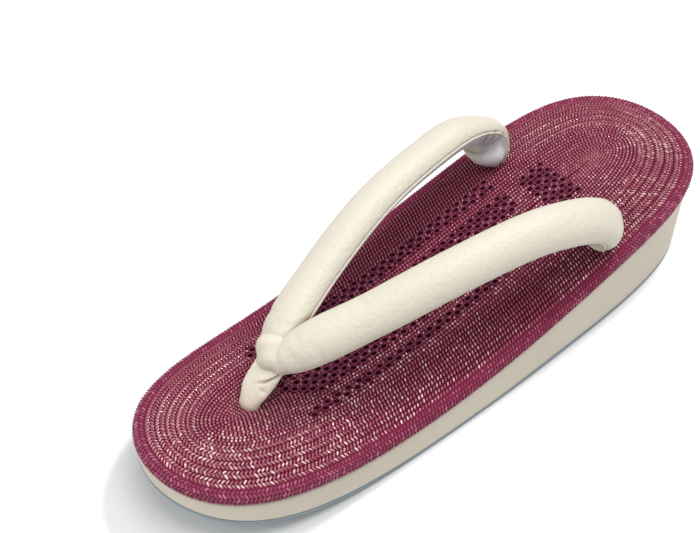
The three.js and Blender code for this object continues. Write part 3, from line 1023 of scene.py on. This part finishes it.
# Toe post and band: a fine-ribbed cream strip, wrapped round the joined strap ends.
# Below them it is folded and goes down through the cover between the toes.
POST_SECTIONS = (  # the columns are those of the straps
    (-0.8, -70.0, 36.5, 10.0, 6.5, 0.2, -0.8, 0.5),
    (-1.3, -74.0, 31.5, 10.4, 6.2, 0.2, -0.8, 0.5),
    (-2.0, -78.2, 26.0, 9.6, 5.6, 0.2, -0.9, 0.4),
    (-2.5, -80.2, 20.5, 8.0, 5.2, 0.2, -1.0, 0.2),
    (-2.6, -80.6, 15.0, 7.4, 5.2, 0.2, -1.0, 0.0),
    (-2.6, -80.6, 11.5, 7.2, 5.2, 0.2, -1.0, 0.0),
)
POST_FLATNESS = 0.9
POST_STEPS, BAND_STEPS, POST_SIDES = 110, 40, 96
BAND_SHARE = 0.018  # of the left strap's run
BAND_THICKNESS = 1.2
BAND_SHIFT = 1.2  # how far its front end stands in from the left
RIB_PITCH = 0.75
BAND_RIBS = 52
# Places on the post: round it in radians, and down it in mm
SLIT_TURN, SLIT_LEAN, SLIT_END = -0.05, 0.15, 10  # the slit moves round as it goes down
TUCK_RUN, TUCK_TURN = 10.5, 0.75
PINCH_RUN = 17.0


def post_relief(run, turn):
    """The folded edges of the strip meet in a slit, with a small tuck and a pinch below it."""
    from_slit = turn_from(turn, SLIT_LEAN * run + SLIT_TURN)
    opened = np.clip((run - 1) / 2, 0, 1) * np.clip((SLIT_END - run) / 3, 0, 1)
    slit = -1.1 * np.exp(-((from_slit / 0.13) ** 2)) + 0.45 * np.exp(-(((from_slit - 0.35) / 0.25) ** 2))
    from_tuck = turn_from(turn, TUCK_TURN)
    tuck = -0.8 * np.exp(-(((run - TUCK_RUN + 1.5 * from_tuck) / 0.8) ** 2) - (from_tuck / 0.3) ** 2)
    pinch = -0.5 * np.exp(-(((run - PINCH_RUN) / 3.0) ** 2)) * np.cos(2 * turn + 0.5)
    return slit * opened + tuck + pinch


def band_relief(run, turn):
    """One soft fold along the strip and a slight unevenness round it, the same over its whole breadth."""
    return -0.25 * np.exp(-(((turn - 2.2) / 0.5) ** 2)) + 0.1 * np.sin(3 * turn + 0.4)


def ribbed(name, attribute, pitch, low, high):
    """Cream cloth with fine ribs, one each pitch of the attribute, its colour between low and high."""

    def look(shader, where):
        place = shader.add("ShaderNodeAttribute", {"attribute_name": attribute}, out=2)
        rib = place.wave(pitch)
        grain = shader.noise(where, 1800.0, 3.0)
        patch = shader.noise(where, 60.0, 3.0)
        colour = shader.mix(patch, low, high)
        # Painted shade: brown darkening where the band and post meet the straps and the cover.
        colour = crevice_shaded(shader, colour, (0.34, 0.25, 0.15, 1), 1.6, 0.15)
        normal = bump(shader, rib * 0.5 + grain * 0.3, 0.5, 0.00016)
        return {"Base Color": colour, "Roughness": grain * 0.15 + 0.6, "Normal": normal}

    return material(name, look, Specular_IOR_Level=0.3)


band_cloth = ribbed(
    "toe_band_ribbed_cloth", "around", 2 * math.pi / BAND_RIBS, (0.66, 0.61, 0.49, 1), (0.73, 0.68, 0.56, 1)
)
# Painted light: the same ribbed cloth as the band, painted paler for the light on the post.
post_cloth_painted_lighter = ribbed("toe_post_cloth_painted_lighter", "along", RIB_PITCH, (0.82, 0.76, 0.62, 1), (0.89, 0.84, 0.71, 1))
first, *others = left_of(STRAP_SECTIONS)
band_rows = [(first[0] + BAND_SHIFT, *first[1:]), *others]
band_rings = sweep(band_rows, BAND_STEPS, POST_SIDES, LINING_FLATNESS, band_relief, BAND_THICKNESS, BAND_SHARE)
band = tube("toe_band", band_rings, [band_cloth])
post_rings = sweep(POST_SECTIONS, POST_STEPS, POST_SIDES, POST_FLATNESS, post_relief)
post = tube("toe_post_fold", post_rings, [post_cloth_painted_lighter])
for piece in (band, post):
    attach(piece, "root")
    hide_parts("toe_post")

# Studio: a plain pale floor, soft light from above, and a camera at the viewing angle of the picture.
floor_mesh = bpy.data.meshes.new("floor")
floor_mesh.from_pydata([(-3, -3, 0), (3, -3, 0), (3, 3, 0), (-3, 3, 0)], [], [(0, 1, 2, 3)])
floor = bpy.data.objects.new("floor", floor_mesh)
bpy.context.scene.collection.objects.link(floor)
pale_floor = material("pale_floor", lambda shader, where: {}, Base_Color=(0.82, 0.82, 0.82, 1), Roughness=0.9)
floor_mesh.materials.append(pale_floor)

world = bpy.data.worlds.new("studio")
bpy.context.scene.world = world
world.use_nodes = True
background = world.node_tree.nodes["Background"]
background.inputs["Color"].default_value = (1, 1, 1, 1)
background.inputs["Strength"].default_value = 0.58


LIGHT_AIM = Vector((0, 0, 0.02))


def soft_light(name, place, size, power):
    lamp = bpy.data.lights.new(name, "AREA")
    lamp.shape, lamp.size, lamp.energy = "DISK", size, power
    light = bpy.data.objects.new(name, lamp)
    light.location = place
    light.rotation_euler = (LIGHT_AIM - Vector(place)).to_track_quat("-Z", "Y").to_euler()
    bpy.context.scene.collection.objects.link(light)


soft_light("overhead", (0.2, 0.0, 1.0), 0.6, 4.4)
soft_light("glint", (-0.04, 0.46, 0.88), 0.12, 4.2)
soft_light("front", (-0.1, -0.9, 0.7), 0.8, 2.8)
bpy.context.scene.view_settings.view_transform = "Standard"

lens = bpy.data.cameras.new("camera")
lens.sensor_width, lens.lens, lens.clip_start, lens.clip_end = 36.0, 62.77, 0.01, 20.0
camera = bpy.data.objects.new("camera", lens)
right, up, back = (0.6634, 0.7482, -0.0005), (-0.5327, 0.4729, 0.7019), (0.5254, -0.4653, 0.7123)
turned = Matrix((right, up, back)).transposed().to_4x4()
camera.matrix_world = Matrix.Translation((0.20181, -0.21783, 0.33116)) @ turned
bpy.context.scene.collection.objects.link(camera)
bpy.context.scene.camera = camera
